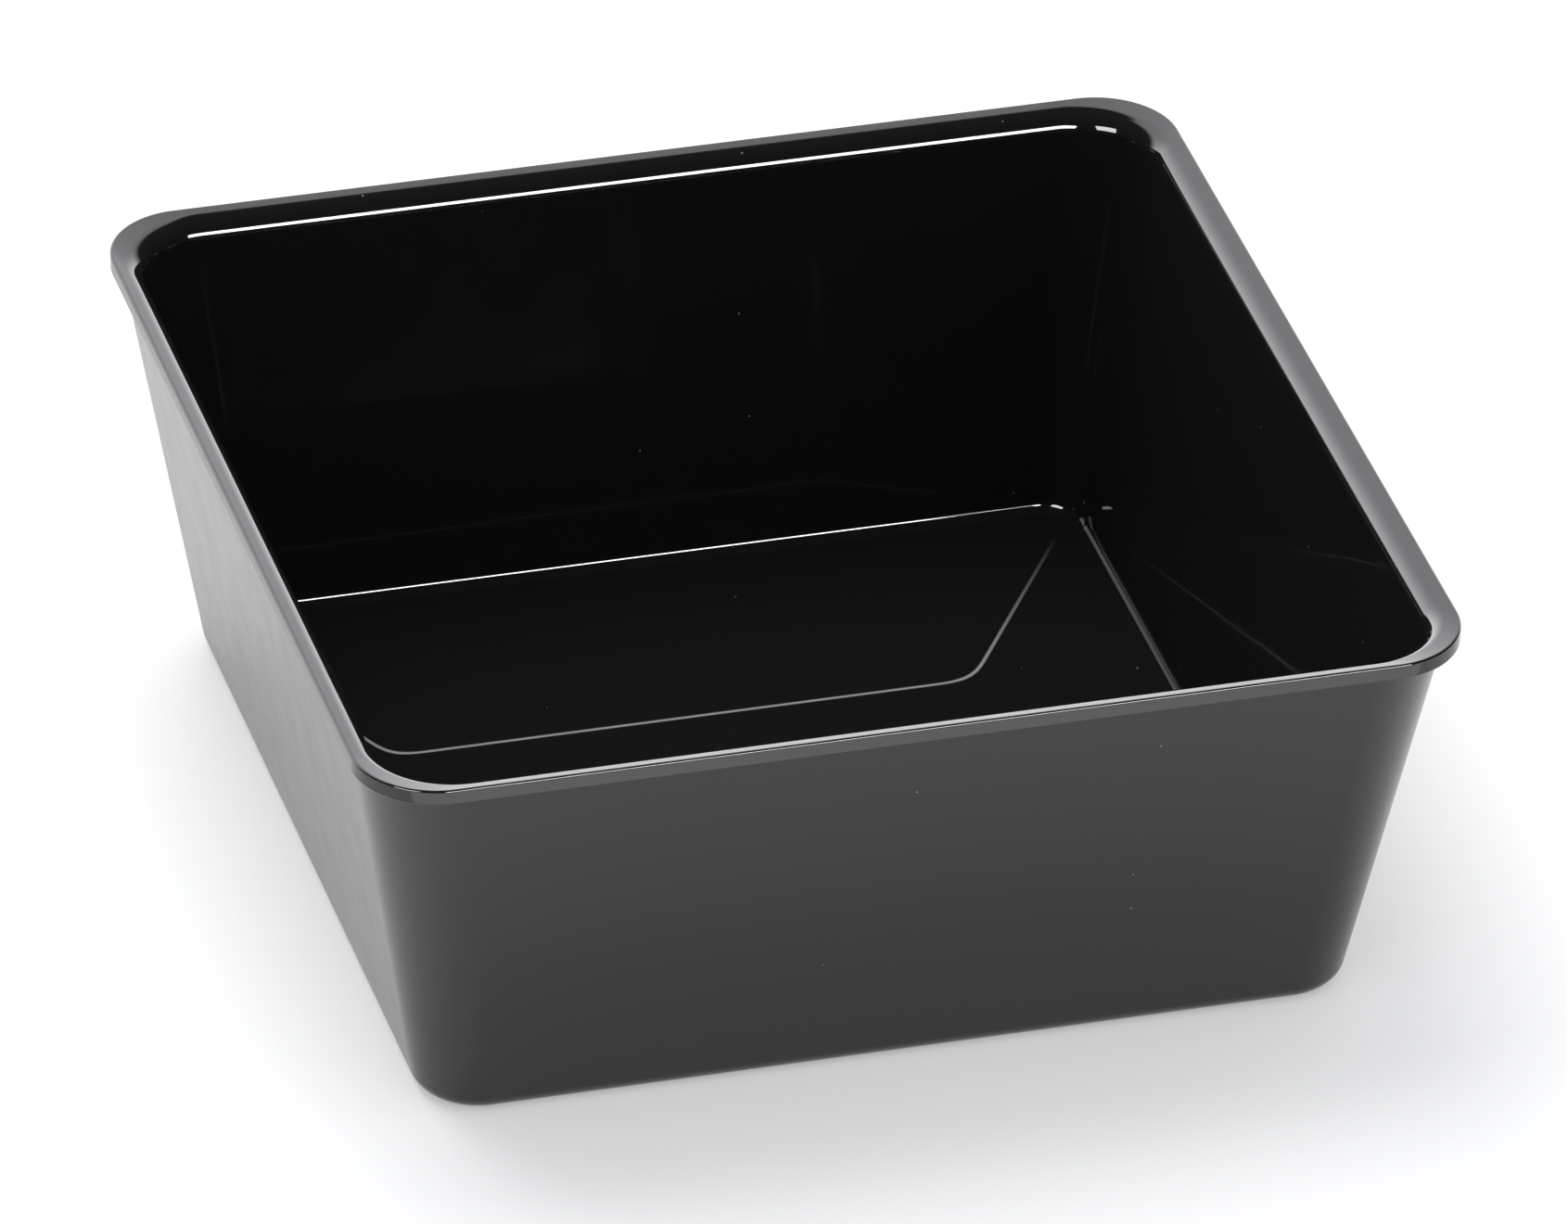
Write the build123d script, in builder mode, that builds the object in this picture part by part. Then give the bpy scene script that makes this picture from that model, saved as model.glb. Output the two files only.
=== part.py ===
"""Deep square display tray, moulded in one piece: sloping walls, a flat floor and a turned-out rim.

Units are millimetres and +Z is up. The origin is the centre of the flat underside, where the tray
stands. X runs along its width and Y along its depth.
"""

import os

from build123d import *

# Overall sizes, measured over the rim.
rim_width = 200.0
rim_depth = 200.0
height = 78.0

# The rim is a short upright lip that stands out a little past the walls, and further at the
# corners, where its round is tighter than theirs. Its outer edges are only eased. Inside a narrow
# level crest its top falls gently inwards, then rolls over into the walls.
rim_overhang = 1.0
lip_height = 3.0
rim_corner_radius = 15.0
rim_edge_radius = 0.4
lip_lower_edge_radius = 0.4
rim_crest_width = 0.5
rim_fall = 1.0
rim_roll_radius = 4.6

# The walls lean out from the base to the rim by this much on each side.
wall_lean = 14.3
wall_thickness = 3.6
wall_corner_radius_at_base = 11.5
wall_corner_radius_at_top = 18.0

floor_thickness = 1.6
base_edge_radius = 4.0
floor_edge_radius = 2.6

# The walls' outer faces, where they'd meet the ground and at the top of the tray.
outside_width_at_top = rim_width - 2 * rim_overhang
outside_depth_at_top = rim_depth - 2 * rim_overhang
outside_width_at_base = outside_width_at_top - 2 * wall_lean
outside_depth_at_base = outside_depth_at_top - 2 * wall_lean

# The walls' inner faces are parallel to the outer ones. They run from the floor to the mouth, where
# they'd meet the rim's sloping top.
mouth_level = height - rim_fall
crest_width = rim_width - 2 * rim_crest_width
crest_depth = rim_depth - 2 * rim_crest_width


def inner_outline(level):
    """Width, depth and corner radius of the walls' inside at a height."""
    rise = level / height
    spread = 2 * (wall_lean * rise - wall_thickness)
    corner_growth = wall_corner_radius_at_top - wall_corner_radius_at_base
    corner_radius = wall_corner_radius_at_base + corner_growth * rise - wall_thickness
    return outside_width_at_base + spread, outside_depth_at_base + spread, corner_radius


with BuildPart() as tray_shell:
    # The rim is a plain band.
    with BuildSketch(Plane.XY.offset(height - lip_height)):
        RectangleRounded(rim_width, rim_depth, rim_corner_radius)
    extrude(amount=lip_height)
    fillet(tray_shell.edges().group_by(Axis.Z)[0], lip_lower_edge_radius)

    # The outside of the walls.
    with BuildSketch(Plane.XY):
        RectangleRounded(outside_width_at_base, outside_depth_at_base, wall_corner_radius_at_base)
    with BuildSketch(Plane.XY.offset(height)):
        RectangleRounded(outside_width_at_top, outside_depth_at_top, wall_corner_radius_at_top)
    loft(ruled=True)
    fillet(tray_shell.edges().group_by(Axis.Z)[0], base_edge_radius)

    # The hollow, up to the mouth.
    with BuildSketch(Plane.XY.offset(floor_thickness)):
        RectangleRounded(*inner_outline(floor_thickness))
    with BuildSketch(Plane.XY.offset(mouth_level)):
        RectangleRounded(*inner_outline(mouth_level))
    loft(ruled=True, mode=Mode.SUBTRACT)
    floor_face = tray_shell.faces().filter_by(Axis.Z).sort_by(Axis.Z)[1]
    fillet(floor_face.edges(), floor_edge_radius)

    # The rim's sloping top, from the mouth out to the crest.
    with BuildSketch(Plane.XY.offset(mouth_level)):
        RectangleRounded(*inner_outline(mouth_level))
    with BuildSketch(Plane.XY.offset(height)):
        RectangleRounded(crest_width, crest_depth, rim_corner_radius - rim_crest_width)
    loft(ruled=True, mode=Mode.SUBTRACT)
    rim_top = tray_shell.faces().filter_by(Axis.Z).sort_by(Axis.Z)[-1]
    fillet(rim_top.outer_wire().edges(), rim_edge_radius)
    fillet(tray_shell.edges().filter_by_position(Axis.Z, mouth_level, mouth_level), rim_roll_radius)

tray_shell.part.label = "tray_shell"

os.makedirs("parts", exist_ok=True)
export_step(tray_shell.part, "parts/tray_shell.step")
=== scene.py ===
"""A deep square display tray of glossy black plastic, on a white studio table."""

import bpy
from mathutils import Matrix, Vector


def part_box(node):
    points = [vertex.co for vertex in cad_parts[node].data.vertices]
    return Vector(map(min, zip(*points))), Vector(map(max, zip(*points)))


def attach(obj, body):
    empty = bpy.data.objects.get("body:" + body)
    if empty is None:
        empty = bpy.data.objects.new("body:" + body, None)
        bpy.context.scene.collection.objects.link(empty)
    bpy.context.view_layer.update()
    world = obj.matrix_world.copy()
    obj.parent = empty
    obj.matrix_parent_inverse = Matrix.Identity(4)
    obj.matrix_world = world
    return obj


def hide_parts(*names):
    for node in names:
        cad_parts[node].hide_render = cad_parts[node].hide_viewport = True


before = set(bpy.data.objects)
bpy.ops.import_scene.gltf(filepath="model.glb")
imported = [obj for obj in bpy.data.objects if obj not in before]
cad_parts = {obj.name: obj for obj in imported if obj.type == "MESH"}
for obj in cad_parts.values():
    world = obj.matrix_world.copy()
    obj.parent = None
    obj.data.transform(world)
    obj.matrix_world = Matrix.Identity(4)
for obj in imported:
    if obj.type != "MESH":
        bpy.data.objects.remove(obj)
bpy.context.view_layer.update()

from math import atan, cos, pi, radians, sin, tan

import bmesh
import bpy
from mathutils import Matrix, Vector


# Camera: a long lens a few metres off, looking down into the tray past its front left corner,
# with the horizon a little tilted. Lengths in this file are in metres, and MM is one millimetre.
MM = 0.001
scene = bpy.context.scene
scene.view_settings.view_transform = "Standard"
camera_azimuth = radians(-16.5)
camera_elevation = radians(32.1)
camera_roll = radians(1.51)
camera_distance = 3.328
camera_lens = 430.7
camera_sensor_width = 36
camera_target = Vector((-2.1, -15.2, 50.2)) * MM

towards_camera = Vector((
    sin(camera_azimuth) * cos(camera_elevation),
    -cos(camera_azimuth) * cos(camera_elevation),
    sin(camera_elevation),
))
camera = bpy.data.objects.new("camera", bpy.data.cameras.new("camera"))
camera.data.lens = camera_lens
camera.data.sensor_width = camera_sensor_width
camera.matrix_world = (
    Matrix.Translation(camera_target + towards_camera * camera_distance)
    @ towards_camera.to_track_quat("Z", "Y").to_matrix().to_4x4()
    @ Matrix.Rotation(camera_roll, 4, "Z")
)
scene.collection.objects.link(camera)
scene.camera = camera


# Tray shell: one moulding in black polystyrene, with sloping walls, a flat floor and a narrow
# turned-out rim. The inside and the rim are glossy, as from a polished mould, and the outside of
# the walls is satin.
tray_low, tray_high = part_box("tray_shell")
rim_width = tray_high.x - tray_low.x
rim_depth = tray_high.y - tray_low.y
tray_height = tray_high.z - tray_low.z
rim_overhang = 1.0 * MM
lip_height = 3.0 * MM
rim_corner_radius = 15.0 * MM
rim_edge_radius = 0.4 * MM
lip_lower_edge_radius = 0.4 * MM
rim_crest_width = 0.5 * MM
rim_fall = 1.0 * MM
rim_roll_radius = 4.6 * MM
wall_lean = 14.3 * MM
wall_thickness = 3.6 * MM
corner_radius_at_base = 11.5 * MM
corner_radius_at_top = 18.0 * MM
floor_thickness = 1.6 * MM
base_edge_radius = 4.0 * MM
floor_edge_radius = 2.6 * MM
corner_steps = 20


def outline(mesh, inset, corner_radius, level):
    """A flat rounded square, this far inside the rim's outer faces: a bevelled four-cornered face."""
    square = bmesh.ops.create_grid(mesh, x_segments=1, y_segments=1, size=0.5)["verts"]
    size = (rim_width - 2 * inset, rim_depth - 2 * inset, 1)
    bmesh.ops.scale(mesh, vec=size, verts=square)
    bmesh.ops.translate(mesh, vec=(0, 0, level), verts=square)
    rounded = bmesh.ops.bevel(
        mesh, geom=square, affect="VERTICES", offset=corner_radius, offset_type="OFFSET",
        segments=corner_steps, profile=0.5, material=-1,
    )
    touching = {face for vert in rounded["verts"] for face in vert.link_faces}
    return max(touching, key=lambda face: face.calc_area())


def wall_section(level, depth_into_wall):
    """Inset and corner radius of the leaning walls at a height, this far in from their outside."""
    rise = level / tray_height
    radius = corner_radius_at_base + (corner_radius_at_top - corner_radius_at_base) * rise
    return rim_overhang + wall_lean * (1 - rise) + depth_into_wall, radius - depth_into_wall


# The outlines run from the underside up the outside, over the rim and down the inside to the
# floor. Each is a height, an inset, a corner radius, and the rounding that its edge then gets: a
# width along the faces beside it, and a number of steps, which is 0 for an edge left as it is.
lip_level = tray_height - lip_height
mouth_level = tray_height - rim_fall
mouth_inset, mouth_corner_radius = wall_section(mouth_level, wall_thickness)
lean_angle = atan(wall_lean / tray_height)
fall_angle = atan(rim_fall / (mouth_inset - rim_crest_width))
turn_at_base = pi / 2 - lean_angle
turn_at_mouth = pi / 2 - lean_angle - fall_angle
sections = [
    (0, *wall_section(0, 0), base_edge_radius * tan(turn_at_base / 2), 10),
    (lip_level, *wall_section(lip_level, 0), 0, 0),
    (lip_level, 0, rim_corner_radius, lip_lower_edge_radius, 4),
    (tray_height, 0, rim_corner_radius, rim_edge_radius, 6),
    (tray_height, rim_crest_width, rim_corner_radius - rim_crest_width, 0, 0),
    (mouth_level, mouth_inset, mouth_corner_radius, rim_roll_radius * tan(turn_at_mouth / 2), 20),
    (floor_thickness, *wall_section(floor_thickness, wall_thickness),
     floor_edge_radius * tan(turn_at_base / 2), 12),
]
shell = bmesh.new()
# They are made and bridged on levels one apart, because two of them share a height at the lip and
# two at the crest, and only then brought to their heights.
rings = [
    outline(shell, inset, corner_radius, step)
    for step, (level, inset, corner_radius, width, steps) in enumerate(sections)
]
for lower, upper in zip(rings, rings[1:]):
    bmesh.ops.bridge_loops(shell, edges=list(lower.edges) + list(upper.edges))
for ring, (level, *_) in zip(rings, sections):
    for vert in ring.verts:
        vert.co.z = tray_low.z + level
ring_edges = [list(ring.edges) for ring in rings]
bmesh.ops.delete(shell, geom=rings[1:-1], context="FACES_ONLY")
bmesh.ops.recalc_face_normals(shell, faces=shell.faces)
for edges, (level, inset, corner_radius, width, steps) in zip(ring_edges, sections):
    if steps == 0:
        continue
    bmesh.ops.bevel(
        shell, geom=edges, affect="EDGES", offset=width, offset_type="OFFSET",
        segments=steps, profile=0.5, material=-1,
    )

# Below the lip, every face that looks outwards also looks down a little. These and the underside
# get the second finish, and all the others the first.
for face in shell.faces:
    face.smooth = True
    face.material_index = int(face.calc_center_median().z < lip_level and face.normal.z < 0)

tray_mesh = bpy.data.meshes.new("tray")
shell.to_mesh(tray_mesh)
shell.free()
tray = bpy.data.objects.new("tray", tray_mesh)
scene.collection.objects.link(tray)
normals = tray.modifiers.new("face_normals", "WEIGHTED_NORMAL")
normals.weight = 100  # the large faces alone set the shading, so they stay flat beside the rounds


def linear(hex_colour):
    """An sRGB hex colour as the linear red, green, blue and alpha that a shader takes."""
    channels = [int(hex_colour[i:i + 2], 16) / 255 for i in (1, 3, 5)]
    return [c / 12.92 if c <= 0.04045 else ((c + 0.055) / 1.055) ** 2.4 for c in channels] + [1]


def add(tree, kind, links=(), values=(), **settings):
    """Adds a node. values holds (input, constant), links holds (input, node, output), and the
    other settings are the node's own properties."""
    node = tree.nodes.new(kind)
    for name, setting in settings.items():
        setattr(node, name, setting)
    for socket, value in values:
        node.inputs[socket].default_value = value
    for socket, source, output in links:
        tree.links.new(source.outputs[output], node.inputs[socket])
    return node


# Deep black plastic that mirrors at grazing angles and shows almost nothing face on. A moulding
# sinks slightly as it cools, in waves about 22 mm across, which bend its reflections a little.
# Handling leaves a faint uneven haze, in patches of about 9 mm, and a few specks of dust.
polystyrene = bpy.data.materials.new("gloss_black_polystyrene")
polystyrene.use_nodes = True
tree = polystyrene.node_tree
tree.nodes.clear()
place = add(tree, "ShaderNodeTexCoord")
sink = add(
    tree, "ShaderNodeTexNoise", links=[("Vector", place, "Object")],
    values=[("Scale", 45), ("Detail", 1)],
)
waves = add(
    tree, "ShaderNodeBump", links=[("Height", sink, "Fac")],
    values=[("Strength", 1), ("Distance", 0.05 * MM)],
)
smears = add(
    tree, "ShaderNodeTexNoise", links=[("Vector", place, "Object")],
    values=[("Scale", 110), ("Detail", 5), ("Roughness", 0.65)],
)
haze = add(
    tree, "ShaderNodeMapRange", links=[("Value", smears, "Fac")],
    values=[("From Min", 0.35), ("From Max", 0.7), ("To Min", 0.03), ("To Max", 0.09)],
)

# Dust: one speck in some of the cells of a 7 mm pattern, each about 0.3 mm across.
cells = add(
    tree, "ShaderNodeTexVoronoi", links=[("Vector", place, "Object")], values=[("Scale", 140)],
)
speck = add(
    tree, "ShaderNodeMapRange", links=[("Value", cells, "Distance")],
    interpolation_type="SMOOTHSTEP",
    values=[("From Min", 0.03), ("From Max", 0.015), ("To Min", 0), ("To Max", 1)],
)
chance = add(tree, "ShaderNodeSeparateXYZ", links=[("Vector", cells, "Color")])
chosen = add(
    tree, "ShaderNodeMath", links=[(0, chance, "X")], values=[(1, 0.6)], operation="GREATER_THAN",
)
dust = add(
    tree, "ShaderNodeMath", links=[(0, speck, "Result"), (1, chosen, "Value")],
    operation="MULTIPLY",
)

# A fine paler line is painted on the floor as a painted reflection of a highlight line: straight
# across, and slanting back from there towards the two rear corners, with rounded turns, and fading
# as it goes back. The distances from its three straight stretches are joined by smooth maximums,
# which round the turns.
line_turn_blend = 7 * MM
spot = add(tree, "ShaderNodeSeparateXYZ", links=[("Vector", place, "Object")])
sides = []
for across, along, offset in ((0, -1, 28.8), (0.835, -0.549, -23.4), (-0.907, -0.42, -44.1)):
    sideways = add(
        tree, "ShaderNodeMath", links=[(0, spot, "X")], values=[(1, across), (2, offset * MM)],
        operation="MULTIPLY_ADD",
    )
    sides.append(add(
        tree, "ShaderNodeMath", links=[(0, spot, "Y"), (2, sideways, "Value")], values=[(1, along)],
        operation="MULTIPLY_ADD",
    ))
front_right = add(
    tree, "ShaderNodeMath", links=[(0, sides[0], "Value"), (1, sides[1], "Value")],
    values=[(2, line_turn_blend)], operation="SMOOTH_MAX",
)
all_round = add(
    tree, "ShaderNodeMath", links=[(0, front_right, "Value"), (1, sides[2], "Value")],
    values=[(2, line_turn_blend)], operation="SMOOTH_MAX",
)
from_line = add(tree, "ShaderNodeMath", links=[(0, all_round, "Value")], operation="ABSOLUTE")
line = add(
    tree, "ShaderNodeMapRange", links=[("Value", from_line, "Value")],
    interpolation_type="SMOOTHSTEP",
    values=[("From Min", 0.5 * MM), ("From Max", 0.1 * MM), ("To Min", 0), ("To Max", 1)],
)
fade = add(
    tree, "ShaderNodeMapRange", links=[("Value", spot, "Y")],
    values=[("From Min", 72 * MM), ("From Max", 30 * MM), ("To Min", 0), ("To Max", 1)],
)
floor_band = add(
    tree, "ShaderNodeMath", links=[(0, spot, "Z")], values=[(1, floor_thickness), (2, 0.1 * MM)],
    operation="COMPARE",
)
line_faded = add(
    tree, "ShaderNodeMath", links=[(0, line, "Result"), (1, fade, "Result")],
    operation="MULTIPLY",
)
painted_reflection_line = add(
    tree, "ShaderNodeMath", links=[(0, line_faded, "Value"), (1, floor_band, "Value")],
    operation="MULTIPLY",
)
# Painted reflection: along the line the floor's black is mixed towards a pale grey.
black_and_painted_reflection = add(
    tree, "ShaderNodeMix", links=[("Factor", painted_reflection_line, "Value")], data_type="RGBA",
    values=[(6, linear("#141414")), (7, linear("#909094"))],
)
colour = add(
    tree, "ShaderNodeMix", links=[("Factor", dust, "Value"), (6, black_and_painted_reflection, 2)],
    data_type="RGBA", values=[(7, linear("#8a8a8c"))],
)
plastic = add(
    tree, "ShaderNodeBsdfPrincipled",
    links=[("Base Color", colour, 2), ("Roughness", haze, "Result"), ("Normal", waves, "Normal")],
    values=[("IOR", 1.56)],
)
add(tree, "ShaderNodeOutputMaterial", links=[("Surface", plastic, "BSDF")])
tray.data.materials.append(polystyrene)

# The same plastic with a satin face, as from a mould that was ground but not polished. It mirrors
# the table softly.
satin = polystyrene.copy()
satin.name = "satin_black_polystyrene"
satin_haze = satin.node_tree.nodes[haze.name]
satin_haze.inputs["To Min"].default_value = 0.21
satin_haze.inputs["To Max"].default_value = 0.24
tray.data.materials.append(satin)
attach(tray, "root")
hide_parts("tray_shell")


# Table: a sheet of opal acrylic far larger than the tray, lit a little from beneath, so that the
# tray's shadow on it stays pale.
table_half_width = 6
table_mesh = bmesh.new()
bmesh.ops.create_grid(table_mesh, x_segments=1, y_segments=1, size=table_half_width)
table_data = bpy.data.meshes.new("table")
table_mesh.to_mesh(table_data)
table_mesh.free()
table = bpy.data.objects.new("table", table_data)
scene.collection.objects.link(table)
opal = bpy.data.materials.new("opal_acrylic")
opal.use_nodes = True
tree = opal.node_tree
tree.nodes.clear()
face = add(tree, "ShaderNodeBsdfDiffuse", values=[("Color", linear("#d2d2d2"))])
beneath = add(tree, "ShaderNodeEmission", values=[("Color", linear("#ffffff")), ("Strength", 0.34)])
sheet = add(tree, "ShaderNodeAddShader", links=[(0, face, "BSDF"), (1, beneath, "Emission")])
add(tree, "ShaderNodeOutputMaterial", links=[("Surface", sheet, "Shader")])
table.data.materials.append(opal)


# Studio: a white room, even in all directions, lights the tray softly. What the gloss mirrors of
# it is bright paper behind the tray, brightest low down and to the left and ending in a dark
# ceiling at about 60 degrees, and little else.
world = bpy.data.worlds.new("studio")
scene.world = world
world.use_nodes = True
tree = world.node_tree
tree.nodes.clear()
way = add(tree, "ShaderNodeTexCoord")
parts = add(tree, "ShaderNodeSeparateXYZ", links=[("Vector", way, "Generated")])
level_way = add(
    tree, "ShaderNodeVectorMath", links=[(0, way, "Generated")], values=[(1, (1, 1, 0))],
    operation="MULTIPLY",
)
level_unit = add(
    tree, "ShaderNodeVectorMath", links=[(0, level_way, "Vector")], operation="NORMALIZE",
)
level_parts = add(tree, "ShaderNodeSeparateXYZ", links=[("Vector", level_unit, "Vector")])
behind = add(
    tree, "ShaderNodeMapRange", links=[("Value", level_parts, "Y")],
    interpolation_type="SMOOTHSTEP",
    values=[("From Min", cos(radians(60))), ("From Max", cos(radians(45)))],
)
below_ceiling = add(
    tree, "ShaderNodeMapRange", links=[("Value", parts, "Z")],
    interpolation_type="SMOOTHSTEP",
    values=[("From Min", sin(radians(66))), ("From Max", sin(radians(57)))],
)
fall_off = add(
    tree, "ShaderNodeMapRange", links=[("Value", parts, "Z")],
    interpolation_type="SMOOTHSTEP",
    values=[
        ("From Min", sin(radians(5))), ("From Max", sin(radians(36))),
        ("To Min", 3.4), ("To Max", 2.17),
    ],
)
leftwards = add(
    tree, "ShaderNodeMapRange", links=[("Value", parts, "X")],
    values=[("From Min", -1), ("To Min", 1.25), ("To Max", 0.75)],
)
paper = add(
    tree, "ShaderNodeMath", links=[(0, behind, "Result"), (1, below_ceiling, "Result")],
    operation="MULTIPLY",
)
paper_tone = add(
    tree, "ShaderNodeMath", links=[(0, fall_off, "Result"), (1, leftwards, "Result")],
    operation="MULTIPLY",
)
paper_light = add(
    tree, "ShaderNodeMath", links=[(0, paper, "Value"), (1, paper_tone, "Value")],
    operation="MULTIPLY",
)
ray = add(tree, "ShaderNodeLightPath")
first_mirror = add(
    tree, "ShaderNodeMath", links=[(0, ray, "Glossy Depth")], values=[(1, 1.5)],
    operation="LESS_THAN",
)
mirrored = add(
    tree, "ShaderNodeMath", links=[(0, paper_light, "Value"), (1, first_mirror, "Value")],
    values=[(2, 0.03)], operation="MULTIPLY_ADD",
)
room = add(
    tree, "ShaderNodeMix", links=[("Factor", ray, "Is Diffuse Ray"), (2, mirrored, "Value")],
    values=[(3, 0.80)], data_type="FLOAT",
)
strength = add(
    tree, "ShaderNodeMix", links=[("Factor", ray, "Is Camera Ray"), (2, room, "Result")],
    values=[(3, 1.0)], data_type="FLOAT",
)
sky = add(
    tree, "ShaderNodeBackground", links=[("Strength", strength, "Result")],
    values=[("Color", linear("#fbfcff"))],
)
add(tree, "ShaderNodeOutputWorld", links=[("Surface", sky, "Background")])


def facing_tray(azimuth, elevation, distance):
    """The place of a lamp in this direction from the tray, turned to face it."""
    way = Vector((sin(azimuth) * cos(elevation), -cos(azimuth) * cos(elevation), sin(elevation)))
    return Matrix.Translation(way * distance) @ way.to_track_quat("Z", "Y").to_matrix().to_4x4()


def softbox(name, place, width, height, radiance):
    """A rectangular lamp of one even brightness, which the camera doesn't see."""
    data = bpy.data.lights.new(name, "AREA")
    data.shape = "RECTANGLE"
    data.size = width
    data.size_y = height
    data.energy = radiance * pi * width * height
    light = bpy.data.objects.new(name, data)
    light.matrix_world = place
    light.visible_camera = False
    scene.collection.objects.link(light)
    return light


# The key and the corner softbox only show as highlights; the overhead panel only lights.
key = softbox("key_softbox", facing_tray(radians(15), radians(25.5), 1.5), 0.9, 0.3, 36)
key.visible_diffuse = False
corner = softbox("corner_softbox", facing_tray(radians(-50), radians(28), 1.5), 0.75, 0.5, 14)
corner.visible_diffuse = False
overhead = softbox("overhead_panel", facing_tray(radians(-158), radians(67), 1.6), 1.1, 1.1, 4.6)
overhead.visible_glossy = False

# A lit card lies face up on the table in front of the tray, where the rim mirrors it.
on_table = Matrix.Translation((0.05, -0.33, 0.002))
front_card = softbox("front_card", on_table @ Matrix.Rotation(pi, 4, "X"), 0.6, 0.3, 0.88)
front_card.visible_diffuse = False
